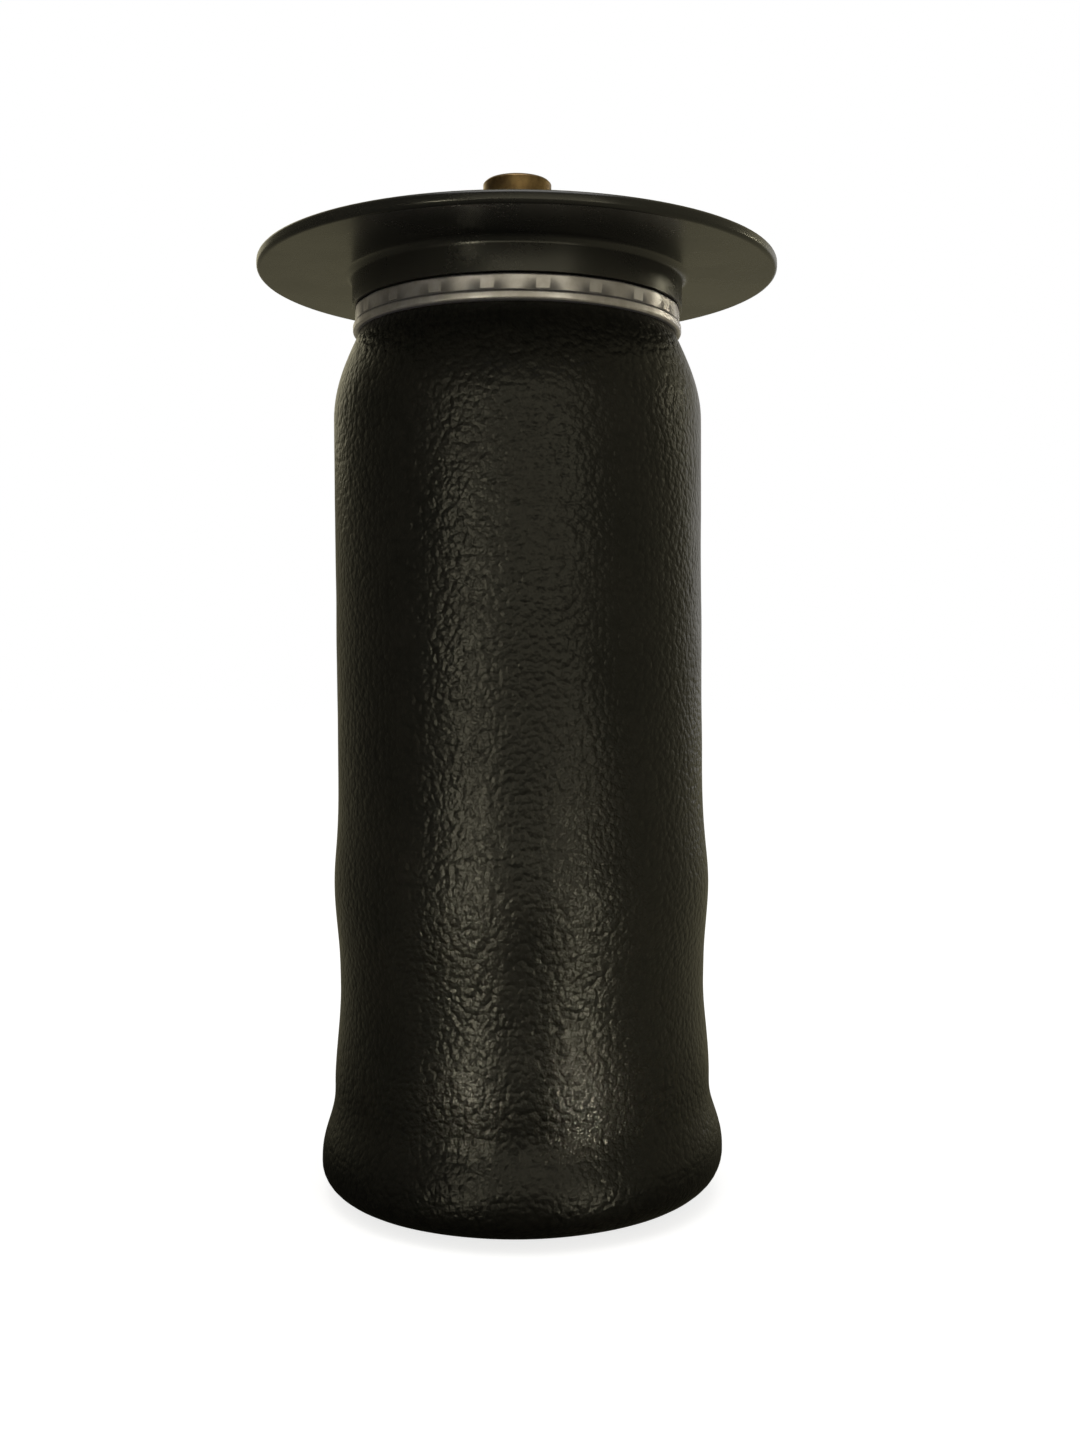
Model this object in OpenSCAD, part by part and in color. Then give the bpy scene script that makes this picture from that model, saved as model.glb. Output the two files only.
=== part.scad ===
/* [Overall] */
// Height from the foot of the piston to the seat face of the top plate
spring_h = 306; // [300:1:330]

/* [Sleeve] */
// Outer diameter of the rubber sleeve at its waist
sleeve_d = 121; // [119:0.5:125]
// Thickness of the rubber wall
sleeve_wall = 3; // [2.4:0.1:3.6]
// How much the radius swells where the sleeve passes the lower crimp ring
swell_h = 1.8; // [0:0.1:3]
// Height over which the swelling fades on either side
swell_run = 17.5; // [12:0.5:22]
// Height over which the sleeve narrows to the upper ring
shoulder_h = 28; // [24:1:36]
// Outer diameter over the rolling lobe
lobe_d = 133.8; // [130:0.2:138]
// Height of the lobe's lowest point over the foot of the piston
lobe_lift = 2.5; // [2:0.1:4]
// Height over which the sleeve flares out to the lobe
flare_h = 22; // [18:1:26]
// How much the radius grows above the flare
roll_h = 2; // [0:0.1:3]
// Height over which it does
roll_run = 32; // [20:1:38]

/* [Top plate] */
// Diameter of the plate
plate_d = 170; // [160:1:184]
// Thickness of the plate at its rim
plate_t = 4; // [3.4:0.1:6]
// Radius of the rounded rim
rim_round = 1.4; // [0.6:0.1:1.6]
// Diameter of the collar under the plate
collar_d = 108.6; // [107:0.2:114]
// Height of the collar
collar_h = 10.6; // [9:0.1:14]
// Radius of the fillet between collar and plate
collar_fillet = 2.5; // [1:0.1:4]
// Diameter of the neck that the sleeve is clamped on
neck_d = 98; // [96:0.5:99]
// Wall of the neck
neck_wall = 5; // [4:0.1:7]
// How far the neck reaches below the ring
neck_out = 2; // [1:0.1:3]
// Thickness of the plate inside the neck
ceiling_t = 9; // [8:0.1:11]
// Diameter of the hub round the air fitting
hub_d = 38; // [36:0.5:42]
// Thickness of the hub
hub_t = 12; // [12:0.5:14]
// Number of ribs on top
plate_ribs = 12; // [6:2:16]
// Width of a rib
plate_rib_w = 3.6; // [2.5:0.1:5]
// Depth of the pockets between the ribs
pocket_depth = 1.9; // [1:0.1:2.4]
// Width of the plain band round the rim
rim_band = 7; // [5:0.5:10]
// Diameter of the plain centre
centre_d = 56; // [54:1:58]
// Diameter of the spot face that the air fitting sits in
spot_d = 32; // [31:0.5:36]
// Depth of the spot face
spot_depth = 0.5; // [0.3:0.1:0.8]

/* [Clamped ends] */
// Height of both crimp rings
ring_h = 8; // [7:0.1:9]
// Thickness of both crimp rings
ring_t = 2; // [1.6:0.1:2.4]
// Height of the rolled lip at their lower edge
ring_lip_h = 2.2; // [1.8:0.1:3]
// How far that lip stands out
lip_out = 0.4; // [0.2:0.05:0.6]
// Number of jaws that swaged the rings
jaw_count = 12; // [8:1:16]
// Width of the mark between two jaws
jaw_mark_w = 0.8; // [0.4:0.1:1.2]
// Depth of the mark between two jaws
jaw_mark_depth = 0.25; // [0.1:0.05:0.5]
// Number of teeth that bite into the rubber
tooth_count = 4; // [2:1:5]
// Depth of the grooves between the teeth
tooth_depth = 0.6; // [0.3:0.1:0.9]

/* [Piston] */
// Outer diameter of the piston's wall
piston_d = 93; // [90:0.2:95]
// Height of the piston
piston_h = 98; // [92:1:106]
// Thickness of the piston's wall
piston_wall = 3; // [2.5:0.1:4]
// Diameter of the foot flange
foot_d = 96; // [95.5:0.5:98]
// Thickness of the foot flange
foot_t = 3; // [2:0.1:4]
// Height of the rounded shoulder at the top
piston_shoulder = 20; // [17:1:24]
// Thickness of the top web
web_t = 9; // [8:0.5:12]
// Diameter of the column in the middle
column_d = 36; // [34:0.5:40]
// Number of ribs between column and wall
piston_ribs = 8; // [4:1:10]
// Width of a rib
piston_rib_w = 2.6; // [2:0.1:3.5]

/* [End closure] */
// Diameter of the land that the sleeve is clamped on
closure_d = 72; // [68:0.2:74]
// Wall of the closure round its hollow
closure_wall = 5; // [4:0.1:6]
// Thickness of the closure's top
closure_t = 5; // [4:0.1:7]
// How far the top flange stands out over the land
closure_lip = 2.4; // [1.5:0.1:2.8]
// Diameter of the hub in the middle
closure_hub_d = 30; // [28:0.5:34]
// Depth of the spigot that centres the closure on the piston
spigot_h = 3; // [2:0.1:4]

/* [Locating pegs] */
// Distance between the two pegs
peg_spacing = 80; // [74:1:86]
// Diameter of a peg
peg_d = 12; // [10:0.5:14]
// Height of a peg over the seat face
peg_h = 17; // [14:0.5:18]
// Diameter of the foot set in the plate
peg_foot_d = 15; // [14.5:0.5:17]
// Depth of that foot
peg_foot_h = 6; // [4:0.5:7]
// Width of the clip groove
clip_groove_w = 3; // [2:0.1:4]
// Diameter in the clip groove
clip_groove_d = 8.6; // [7:0.1:9.4]
// Height of peg left above the groove
clip_head_h = 4.5; // [3:0.1:6]

/* [Air fitting] */
// Diameter of the air tube that the fitting takes
tube_d = 6; // [6:0.1:6.4]
// Diameter of the fitting's barrel
barrel_d = 22.5; // [21.5:0.1:24]
// Height of the fitting over the seat face
fitting_h = 28; // [27:0.5:32]
// Width across the flats of its hexagon
fitting_hex = 24; // [23:0.5:26]
// Height of its hexagon
fitting_hex_h = 6; // [4:0.5:7]
// Thickness of the seal under the hexagon
fitting_seal_t = 1.5; // [1:0.1:2]
// Diameter of its threaded shank
shank_d = 16; // [14:0.5:16]
// How far the shank stands out below the nut
shank_out = 2; // [1:0.5:4]
// Thickness of the lock nut
nut_t = 7; // [6:0.5:8]
// Width across the flats of the lock nut
nut_hex = 24; // [22:0.5:27]
// Thickness of the washer on the nut
nut_washer_t = 2; // [1.5:0.1:2.5]
// Diameter of that washer
nut_washer_d = 32; // [30:0.5:34]
// Depth of the bore that holds the collet
mouth_depth = 11; // [10.5:0.1:11.5]
// Diameter of that bore
mouth_d = 15; // [14.6:0.1:16]
// Thickness of one tube seal
tube_seal = 2.2; // [2:0.1:2.4]
// Thickness of the spacer between the tube seals
seal_spacer_t = 1.2; // [0.8:0.1:1.6]
// Depth of the socket that the tube's end sits in
socket_depth = 8; // [6:0.5:8.5]
// Diameter of the air passage
passage_d = 4; // [3:0.1:4.5]
// Travel of the collet when it is pressed
collet_travel = 1.2; // [0.8:0.1:1.4]
// Wall of the collet's tube
collet_wall = 1.3; // [1.1:0.1:1.5]
// Width of the slots between the collet's fingers
collet_slot_w = 1; // [0.6:0.1:1.2]

/* [Tie bolt] */
// Diameter of the bolt
bolt_d = 8; // [6:0.5:8.5]
// Width across the flats of its head
bolt_hex = 13; // [12:0.5:15]
// Height of its head
bolt_head_h = 5.3; // [4:0.1:6]
// Thickness of the sealing washer under its head
bolt_seal_t = 1.6; // [1.2:0.1:2]
// Thickness of the washer under that seal
bolt_washer_t = 2; // [1.5:0.1:3]
// Diameter of the washer
bolt_washer_d = 26; // [22:0.5:30]
// How deep the bolt goes into the foot insert
bolt_grip = 14; // [10:1:18]

/* [Foot insert] */
// Diameter of the insert's flange
insert_flange_d = 28; // [26:0.5:28]
// Thickness of the insert's flange
insert_flange_t = 5; // [4:0.5:6]
// Diameter of the insert
insert_d = 20; // [18:0.5:22]
// Diameter of the threaded hole for the lower fixing bolt
fixing_d = 10.2; // [8.5:0.1:10.2]
// Depth of that hole
fixing_depth = 18; // [14:1:20]

/* [Fits] */
// Gap between faces that sit on each other
fit_gap = 0.05; // [0.02:0.01:0.1]
// Gap between the rubber's ends and what they butt against
end_gap = 0.3; // [0.2:0.05:0.5]
// Gap between the sleeve's inner leg and the piston
leg_gap = 0.3; // [0.2:0.05:0.4]
// Radial clearance of a bolt or tube in a plain hole
hole_gap = 0.25; // [0.1:0.05:0.3]

/* [Hidden] */
$fn = 96;

// Heights of the top plate's faces
seat_z = spring_h;
under_z = seat_z - plate_t;
collar_z = under_z - collar_h;
upper_ring_z = collar_z - end_gap - ring_h;
neck_z = upper_ring_z - neck_out;
ceiling_z = seat_z - ceiling_t;
hub_z = seat_z - hub_t;

// Heights of the closure and of what stands on it
lower_ring_lift = 1;
lower_ring_z = piston_h + lower_ring_lift;
closure_lip_z = lower_ring_z + ring_h + 2 * end_gap;
closure_top_z = closure_lip_z + closure_t - 1.5;
bolt_seal_z = closure_top_z + bolt_washer_t;
bolt_head_z = bolt_seal_z + bolt_seal_t;
insert_top_z = fixing_depth + 4 + bolt_grip;

// Radii where the sleeve is clamped
neck_r = neck_d / 2;
closure_r = closure_d / 2;
upper_land_r = neck_r + fit_gap + sleeve_wall;
lower_land_r = closure_r + fit_gap;
// How much the rubber's neck narrows towards its end, within the gap that its ring leaves
neck_ease = fit_gap / 2;

// The rolling lobe
lobe_r = lobe_d / 2;
leg_r = piston_d / 2 + leg_gap;
lobe_bend_r = (lobe_r - leg_r) / 2;
lobe_middle_r = (lobe_r + leg_r) / 2;
lobe_z = lobe_lift + lobe_bend_r;

// The air fitting's bores, from its mouth down
fitting_top_z = seat_z + fitting_h;
spot_z = seat_z - spot_depth;
hex_z = spot_z + fitting_seal_t;
mouth_z = fitting_top_z - mouth_depth;
bore_r = tube_d / 2 + 0.1;
seal_inner_r = bore_r + fit_gap;
gland_r = seal_inner_r + tube_seal + fit_gap;
gland_depth = 2 * tube_seal + seal_spacer_t + 4 * fit_gap;
gland_z = mouth_z - gland_depth;
socket_z = gland_z - socket_depth;
shank_z = hub_z - nut_washer_t - nut_t - shank_out;
guard_washer_t = 1;

// The collet and the sleeve that holds it
collet_in_r = bore_r + 0.1;
collet_r = collet_in_r + collet_wall;
guide_r = collet_r + 0.2;
jaw_r = collet_r + 1.3;
jaw_room_r = jaw_r + 0.5;
jaw_bottom_gap = 0.6;
jaw_h = 2.2;
jaw_taper = 1.3;
guide_z = mouth_z + guard_washer_t + fit_gap;
jaw_z = mouth_z + guard_washer_t + collet_travel + jaw_bottom_gap;
guide_top_z = fitting_top_z - 2;
collet_flange_t = 1.5;
collet_flange_r = jaw_room_r - 0.1;
collet_flange_z = guide_top_z + collet_travel + 0.4;

// Goes smoothly from 0 to 1 as t does
function smooth(t) = let (u = min(max(t, 0), 1)) u * u * (3 - 2 * u);

function unit(v) = v / norm(v);

// Points on an arc of radius r round c, from angle a0 to a1 in n steps
function arc(c, r, a0, a1, n) =
    [for (i = [0 : n]) let (a = a0 + (a1 - a0) * i / n) c + r * [cos(a), sin(a)]];

// The path moved sideways by d, to the left of the way it runs
function moved_left(path, d) =
    [for (i = [0 : len(path) - 1])
        let (t = unit(path[min(i + 1, len(path) - 1)] - path[max(i - 1, 0)]))
        path[i] + d * [-t[1], t[0]]];

function reversed(list) = [for (i = [len(list) - 1 : -1 : 0]) list[i]];

// Teeth with a sharp upper edge down a clamping land of radius r, from z1 down to z0
function teeth(r, z1, z0) =
    let (pitch = (z1 - z0) / tooth_count)
    [for (i = [0 : tooth_count - 1])
        let (z = z1 - i * pitch)
        each [[r, z], [r, z - pitch * 0.45], [r - tooth_depth, z - pitch * 0.55], [r - tooth_depth, z - pitch * 0.8]]];

// Radius of the sleeve's outer face at height z, from the lobe up to the shoulder
function sleeve_r(z) =
    sleeve_d / 2
    + swell_h * exp(-pow((z - lower_ring_z - ring_h / 2) / swell_run, 2))
    + roll_h * smooth((lobe_z + flare_h + roll_run - z) / roll_run)
    + (lobe_r - sleeve_d / 2 - roll_h) * smooth((lobe_z + flare_h - z) / flare_h);

// Radius, at height z, of a face that follows the piston's wall and shoulder from r to a neck of radius top_r
function piston_shoulder_r(z, r, top_r) =
    r + (top_r - r) * smooth((z - piston_h + piston_shoulder) / piston_shoulder);

// The face of the rubber that is outside on the wall, and runs round the lobe and up the piston
function sleeve_outer_face() =
    let (
        shoulder_z = upper_ring_z - shoulder_h,
        body_steps = 56,
        shoulder_steps = 10,
        inner_steps = 12
    )
    concat(
        [[upper_land_r, collar_z - end_gap]],
        [for (i = [0 : shoulder_steps - 1])
            let (t = i / shoulder_steps)
            [upper_land_r + (sleeve_r(shoulder_z) - upper_land_r) * sin(90 * t), upper_ring_z - shoulder_h * t]],
        [for (i = [0 : body_steps - 1])
            let (z = shoulder_z + (lobe_z - shoulder_z) * i / body_steps) [sleeve_r(z), z]],
        arc([lobe_middle_r, lobe_z], lobe_bend_r, 0, -180, 20),
        [for (i = [0 : inner_steps])
            let (z = piston_h - piston_shoulder * (1 - i / inner_steps))
            [piston_shoulder_r(z, leg_r, lower_land_r + neck_ease), z]],
        [[lower_land_r, closure_lip_z - end_gap]]
    );

// The rubber sleeve, clamped at both ends and rolled over the piston
module sleeve() {
    outer = sleeve_outer_face();
    color("#262622") rotate_extrude() polygon(concat(outer, reversed(moved_left(outer, -sleeve_wall))));
}

// A swaged ring round rubber whose outer face has radius r, with its lower edge rolled to a lip
module crimp_ring(r, z) {
    inner = r + fit_gap;
    band_r = inner + ring_t - lip_out;
    bend = min(ring_t, ring_lip_h) / 2;
    color("#c9c6bf") difference() {
        rotate_extrude() polygon(concat(
            [[inner, z]],
            arc([inner + ring_t - bend, z + bend], bend, -90, 40, 8),
            [[band_r, z + ring_lip_h], [band_r, z + ring_h - 0.5], [band_r - 0.5, z + ring_h], [inner, z + ring_h]]
        ));
        for (i = [0 : jaw_count - 1])
            rotate([0, 0, 360 * i / jaw_count])
                translate([inner + ring_t - jaw_mark_depth, -jaw_mark_w / 2, z - 1])
                    cube([ring_t, jaw_mark_w, ring_h + 2]);
    }
}

module upper_crimp_ring() crimp_ring(upper_land_r, upper_ring_z);

module lower_crimp_ring() crimp_ring(lower_land_r + sleeve_wall, lower_ring_z);

// The outline of the plate, its collar and its neck, as one moulding
function top_plate_outline() =
    let (
        plate_r = plate_d / 2,
        collar_r = collar_d / 2,
        lead = neck_out * 0.7
    )
    concat(
        [[0, seat_z]],
        arc([plate_r - rim_round, seat_z - rim_round], rim_round, 90, 0, 5),
        arc([plate_r - rim_round, under_z + rim_round], rim_round, 0, -90, 5),
        arc([collar_r + collar_fillet, under_z - collar_fillet], collar_fillet, 90, 180, 6),
        [[collar_r, collar_z]],
        teeth(neck_r, collar_z, upper_ring_z),
        [[neck_r, upper_ring_z], [neck_r, neck_z + lead], [neck_r - lead, neck_z],
            [neck_r - neck_wall, neck_z], [neck_r - neck_wall, ceiling_z],
            [hub_d / 2, ceiling_z], [hub_d / 2, hub_z], [0, hub_z]]
    );

// The pockets that lighten the top, between ribs, and clear of the pegs
module plate_pockets() {
    outer_r = plate_d / 2 - rim_band;
    difference() {
        translate([0, 0, seat_z - pocket_depth]) difference() {
            cylinder(r = outer_r, h = pocket_depth + 1);
            translate([0, 0, -1]) cylinder(d = centre_d, h = pocket_depth + 3);
        }
        for (i = [0 : plate_ribs - 1])
            rotate([0, 0, 360 * i / plate_ribs])
                translate([0, -plate_rib_w / 2, seat_z - pocket_depth - 1])
                    cube([plate_d / 2, plate_rib_w, pocket_depth + 3]);
        for (side = [-1, 1])
            translate([side * peg_spacing / 2, 0, seat_z - pocket_depth - 1])
                cylinder(d = peg_foot_d + 6, h = pocket_depth + 3);
    }
}

module top_plate() {
    color("#1d1d1b") difference() {
        rotate_extrude() polygon(top_plate_outline());
        plate_pockets();
        translate([0, 0, spot_z]) cylinder(d = spot_d, h = spot_depth + 1);
        translate([0, 0, hub_z - 1]) cylinder(d = shank_d + 2 * hole_gap, h = hub_t + 2);
        for (side = [-1, 1])
            translate([side * peg_spacing / 2, 0, seat_z - peg_foot_h - fit_gap])
                cylinder(d = peg_foot_d + 2 * fit_gap, h = peg_foot_h + 1);
    }
}

// A peg that goes through the chassis seat, grooved for a spring clip. side is -1 or 1
module locating_peg(side) {
    groove_z = seat_z + peg_h - clip_head_h;
    tip = 1.2;
    color("#b8bbbe") translate([side * peg_spacing / 2, 0, 0]) rotate_extrude() polygon([
        [0, seat_z - peg_foot_h], [peg_foot_d / 2, seat_z - peg_foot_h], [peg_foot_d / 2, seat_z],
        [peg_d / 2, seat_z], [peg_d / 2, groove_z - clip_groove_w], [clip_groove_d / 2, groove_z - clip_groove_w],
        [clip_groove_d / 2, groove_z], [peg_d / 2, groove_z], [peg_d / 2, seat_z + peg_h - tip],
        [peg_d / 2 - tip, seat_z + peg_h], [0, seat_z + peg_h]
    ]);
}

// A hexagonal prism with its corners turned off at the top
module hexagon(flats, h, corner_cut) {
    corner_r = flats / sqrt(3);
    intersection() {
        rotate([0, 0, 30]) cylinder(r = corner_r, h = h, $fn = 6);
        rotate_extrude() polygon([
            [0, 0], [corner_r + 1, 0], [corner_r + 1, h - corner_cut - 0.6],
            [corner_r - corner_cut * 1.7 - 0.05, h], [0, h]
        ]);
    }
}

// The brass body of the air fitting
module fitting_body() {
    edge = 0.8;
    color("#8a6d3b") difference() {
        union() {
            translate([0, 0, hex_z]) hexagon(fitting_hex, fitting_hex_h, 0.6);
            rotate_extrude() polygon([
                [0, shank_z], [shank_d / 2 - 1, shank_z], [shank_d / 2, shank_z + 1], [shank_d / 2, hex_z + 1],
                [barrel_d / 2 - 1, hex_z + 1], [barrel_d / 2 - 1, hex_z + fitting_hex_h],
                [barrel_d / 2, hex_z + fitting_hex_h + 1], [barrel_d / 2, fitting_top_z - edge],
                [barrel_d / 2 - edge, fitting_top_z], [0, fitting_top_z]
            ]);
        }
        translate([0, 0, mouth_z]) cylinder(d = mouth_d, h = mouth_depth + 1);
        translate([0, 0, gland_z]) cylinder(r = gland_r, h = gland_depth + 1);
        translate([0, 0, socket_z]) cylinder(r = bore_r, h = socket_depth + 1);
        translate([0, 0, shank_z - 1]) cylinder(d = passage_d, h = socket_z - shank_z + 2);
    }
}

// A flat ring between radii r0 and r1
module flat_ring(r0, r1, z, t) {
    translate([0, 0, z]) difference() {
        cylinder(r = r1, h = t);
        translate([0, 0, -1]) cylinder(r = r0, h = t + 2);
    }
}

module fitting_seal() {
    color("#2b2b2a") flat_ring(shank_d / 2 + fit_gap, fitting_hex / 2, spot_z, fitting_seal_t);
}

module lock_nut_washer() {
    color("#a9adb0") flat_ring(shank_d / 2 + hole_gap, nut_washer_d / 2, hub_z - nut_washer_t, nut_washer_t);
}

module lock_nut() {
    color("#8a6d3b") difference() {
        translate([0, 0, hub_z - nut_washer_t]) mirror([0, 0, 1]) hexagon(nut_hex, nut_t, 0.8);
        translate([0, 0, shank_z - 1]) cylinder(r = shank_d / 2 + fit_gap, h = hub_t + nut_t + 10);
    }
}

// A round seal that grips the air tube
module tube_seal_ring(z) {
    color("#1a1a19") rotate_extrude()
        translate([seal_inner_r + tube_seal / 2, z + tube_seal / 2]) circle(d = tube_seal);
}

module tube_seal_lower() tube_seal_ring(gland_z + fit_gap);

module tube_seal_upper() tube_seal_ring(gland_z + 3 * fit_gap + tube_seal + seal_spacer_t);

module seal_spacer() {
    color("#8a6d3b") flat_ring(seal_inner_r, gland_r - fit_gap, gland_z + 2 * fit_gap + tube_seal, seal_spacer_t);
}

module guard_washer() {
    color("#8a6d3b") flat_ring(collet_in_r, mouth_d / 2 - fit_gap, mouth_z, guard_washer_t);
}

// The sleeve pressed into the mouth, whose cone closes the collet's jaws on the tube
module collet_guide() {
    cone_z = jaw_z + jaw_h + 0.15;
    cone_end_z = cone_z + (jaw_room_r - guide_r) * jaw_taper;
    color("#8a6d3b") rotate_extrude() polygon([
        [jaw_room_r, guide_z], [mouth_d / 2 - fit_gap, guide_z], [mouth_d / 2 - fit_gap, guide_top_z],
        [guide_r, guide_top_z], [guide_r, cone_end_z], [jaw_room_r, cone_z]
    ]);
}

// The collet: a flange to press, a tube, and four sprung fingers with jaws
module collet() {
    jaw_top_z = jaw_z + jaw_h;
    jaw_end_z = jaw_top_z + (jaw_r - collet_r) * jaw_taper;
    slot_h = (collet_flange_z - jaw_z) * 0.7;
    color("#30302e") difference() {
        rotate_extrude() polygon([
            [collet_in_r, jaw_z], [jaw_r - 0.4, jaw_z], [jaw_r, jaw_z + 0.4], [jaw_r, jaw_top_z],
            [collet_r, jaw_end_z], [collet_r, collet_flange_z], [collet_flange_r, collet_flange_z],
            [collet_flange_r, collet_flange_z + collet_flange_t - 0.4],
            [collet_flange_r - 0.4, collet_flange_z + collet_flange_t],
            [collet_in_r + 0.3, collet_flange_z + collet_flange_t],
            [collet_in_r, collet_flange_z + collet_flange_t - 0.3]
        ]);
        for (a = [0, 90])
            rotate([0, 0, a])
                translate([-jaw_r - 1, -collet_slot_w / 2, jaw_z - 1])
                    cube([2 * jaw_r + 2, collet_slot_w, slot_h + 1]);
    }
}

// The outline of the piston without its hollow: foot flange, wall, and the shoulder that the sleeve runs over
function piston_outline() =
    let (
        wall_r = piston_d / 2,
        top_r = lower_land_r - leg_gap,
        steps = 12
    )
    concat(
        [[0, 0], [foot_d / 2 - 0.6, 0], [foot_d / 2, 0.6], [foot_d / 2, foot_t],
            [wall_r, foot_t + (foot_d / 2 - wall_r) * 0.5]],
        [for (i = [0 : steps])
            let (z = piston_h - piston_shoulder * (1 - i / steps)) [piston_shoulder_r(z, wall_r, top_r), z]],
        [[0, piston_h]]
    );

// The hollow between the column and the wall, open at the foot
function piston_hollow_outline() =
    let (
        wall_r = piston_d / 2 - piston_wall,
        top_r = closure_r - piston_wall,
        roof_z = piston_h - web_t,
        start_z = piston_h - piston_shoulder,
        steps = 6
    )
    concat(
        [[column_d / 2, -1], [wall_r, -1]],
        [for (i = [0 : steps])
            let (z = start_z + (roof_z - start_z) * i / steps) [piston_shoulder_r(z, wall_r, top_r), z]],
        [[column_d / 2, roof_z]]
    );

module piston() {
    color("#22221f") difference() {
        rotate_extrude() polygon(piston_outline());
        difference() {
            rotate_extrude() polygon(piston_hollow_outline());
            for (i = [0 : piston_ribs - 1])
                rotate([0, 0, 360 * (i + 0.5) / piston_ribs])
                    translate([0, -piston_rib_w / 2, foot_t])
                        cube([piston_d / 2 - piston_wall / 2, piston_rib_w, piston_h]);
        }
        translate([0, 0, -1]) cylinder(r = bolt_d / 2 + hole_gap, h = piston_h + 2);
        translate([0, 0, -1]) cylinder(r = insert_d / 2 + fit_gap, h = insert_top_z + fit_gap + 1);
        translate([0, 0, -1]) cylinder(r = insert_flange_d / 2 + fit_gap, h = insert_flange_t + fit_gap + 1);
        translate([0, 0, piston_h - spigot_h - fit_gap]) cylinder(r = closure_hub_d / 2 + fit_gap, h = spigot_h + 1);
    }
}

// The steel insert in the foot: the lower fixing bolt screws in from below and the tie bolt from above
module foot_insert() {
    color("#a9adb0") difference() {
        union() {
            cylinder(d = insert_flange_d, h = insert_flange_t);
            cylinder(d = insert_d, h = insert_top_z);
        }
        translate([0, 0, -1]) cylinder(d = fixing_d, h = fixing_depth + 1);
        translate([0, 0, insert_top_z - bolt_grip]) cylinder(r = bolt_d / 2 + fit_gap, h = bolt_grip + 1);
    }
}

// The closure that the sleeve's lower end is clamped on
module end_closure() {
    lip_r = closure_r + closure_lip;
    hollow_r = closure_r - closure_wall;
    roof_z = closure_top_z - closure_t;
    hub_r = closure_hub_d / 2;
    color("#9a9c9b") difference() {
        rotate_extrude() polygon(concat(
            [[0, piston_h - spigot_h], [hub_r, piston_h - spigot_h], [hub_r, roof_z], [hollow_r, roof_z],
                [hollow_r, piston_h], [closure_r, piston_h], [closure_r, lower_ring_z]],
            reversed(teeth(closure_r, closure_lip_z, lower_ring_z)),
            [[lip_r, closure_lip_z], [lip_r, closure_top_z - 0.8], [lip_r - 0.8, closure_top_z], [0, closure_top_z]]
        ));
        translate([0, 0, piston_h - spigot_h - 1]) cylinder(r = bolt_d / 2 + hole_gap, h = piston_h);
    }
}

// The bolt that holds closure and piston together
module tie_bolt() {
    shank_end_z = insert_top_z - bolt_grip + 1;
    color("#b8bbbe") union() {
        translate([0, 0, bolt_head_z]) hexagon(bolt_hex, bolt_head_h, 0.6);
        translate([0, 0, shank_end_z]) cylinder(d = bolt_d, h = bolt_head_z - shank_end_z + 1);
    }
}

module tie_bolt_seal() {
    color("#2b2b2a") flat_ring(bolt_d / 2 + fit_gap, bolt_hex / 2 + 1.5, bolt_seal_z, bolt_seal_t);
}

module tie_bolt_washer() {
    color("#a9adb0") flat_ring(bolt_d / 2 + hole_gap, bolt_washer_d / 2, closure_top_z, bolt_washer_t);
}

piston();
end_closure();
lower_crimp_ring();
foot_insert();
tie_bolt();
tie_bolt_seal();
tie_bolt_washer();
sleeve();
top_plate();
upper_crimp_ring();
locating_peg(-1);  // locating_peg_left
locating_peg(1);  // locating_peg_right
fitting_body();
fitting_seal();
lock_nut();
lock_nut_washer();
tube_seal_lower();
tube_seal_upper();
seal_spacer();
guard_washer();
collet_guide();
collet();
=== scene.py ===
"""Looks of a sleeve air spring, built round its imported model."""

import math

import bmesh
import bpy
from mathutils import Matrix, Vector


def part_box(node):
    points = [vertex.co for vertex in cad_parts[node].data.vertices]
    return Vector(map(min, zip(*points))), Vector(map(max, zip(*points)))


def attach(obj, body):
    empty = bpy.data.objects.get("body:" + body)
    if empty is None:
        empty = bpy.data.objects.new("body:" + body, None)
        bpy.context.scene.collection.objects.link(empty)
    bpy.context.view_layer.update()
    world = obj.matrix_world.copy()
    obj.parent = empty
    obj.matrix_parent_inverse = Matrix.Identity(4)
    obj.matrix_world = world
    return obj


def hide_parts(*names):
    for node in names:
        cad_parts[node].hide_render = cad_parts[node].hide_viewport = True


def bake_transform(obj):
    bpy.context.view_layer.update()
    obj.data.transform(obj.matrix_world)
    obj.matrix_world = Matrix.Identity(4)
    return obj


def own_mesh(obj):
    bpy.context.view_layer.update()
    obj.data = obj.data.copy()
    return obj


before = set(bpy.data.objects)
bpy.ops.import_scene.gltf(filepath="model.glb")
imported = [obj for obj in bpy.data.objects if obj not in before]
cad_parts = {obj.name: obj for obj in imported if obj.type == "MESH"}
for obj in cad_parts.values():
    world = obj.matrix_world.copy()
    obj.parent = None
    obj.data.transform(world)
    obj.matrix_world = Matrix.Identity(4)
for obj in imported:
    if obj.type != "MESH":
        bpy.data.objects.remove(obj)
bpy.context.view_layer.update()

MM = 0.001
TURN = 2 * math.pi
BLACK = (0, 0, 0, 1)
WHITE = (1, 1, 1, 1)

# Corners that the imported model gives, in metres
ring_low, ring_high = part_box("upper_crimp_ring")
sleeve_low, sleeve_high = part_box("sleeve")
lower_ring_low, lower_ring_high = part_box("lower_crimp_ring")
piston_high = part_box("piston")[1]
insert_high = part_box("foot_insert")[1]

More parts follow.
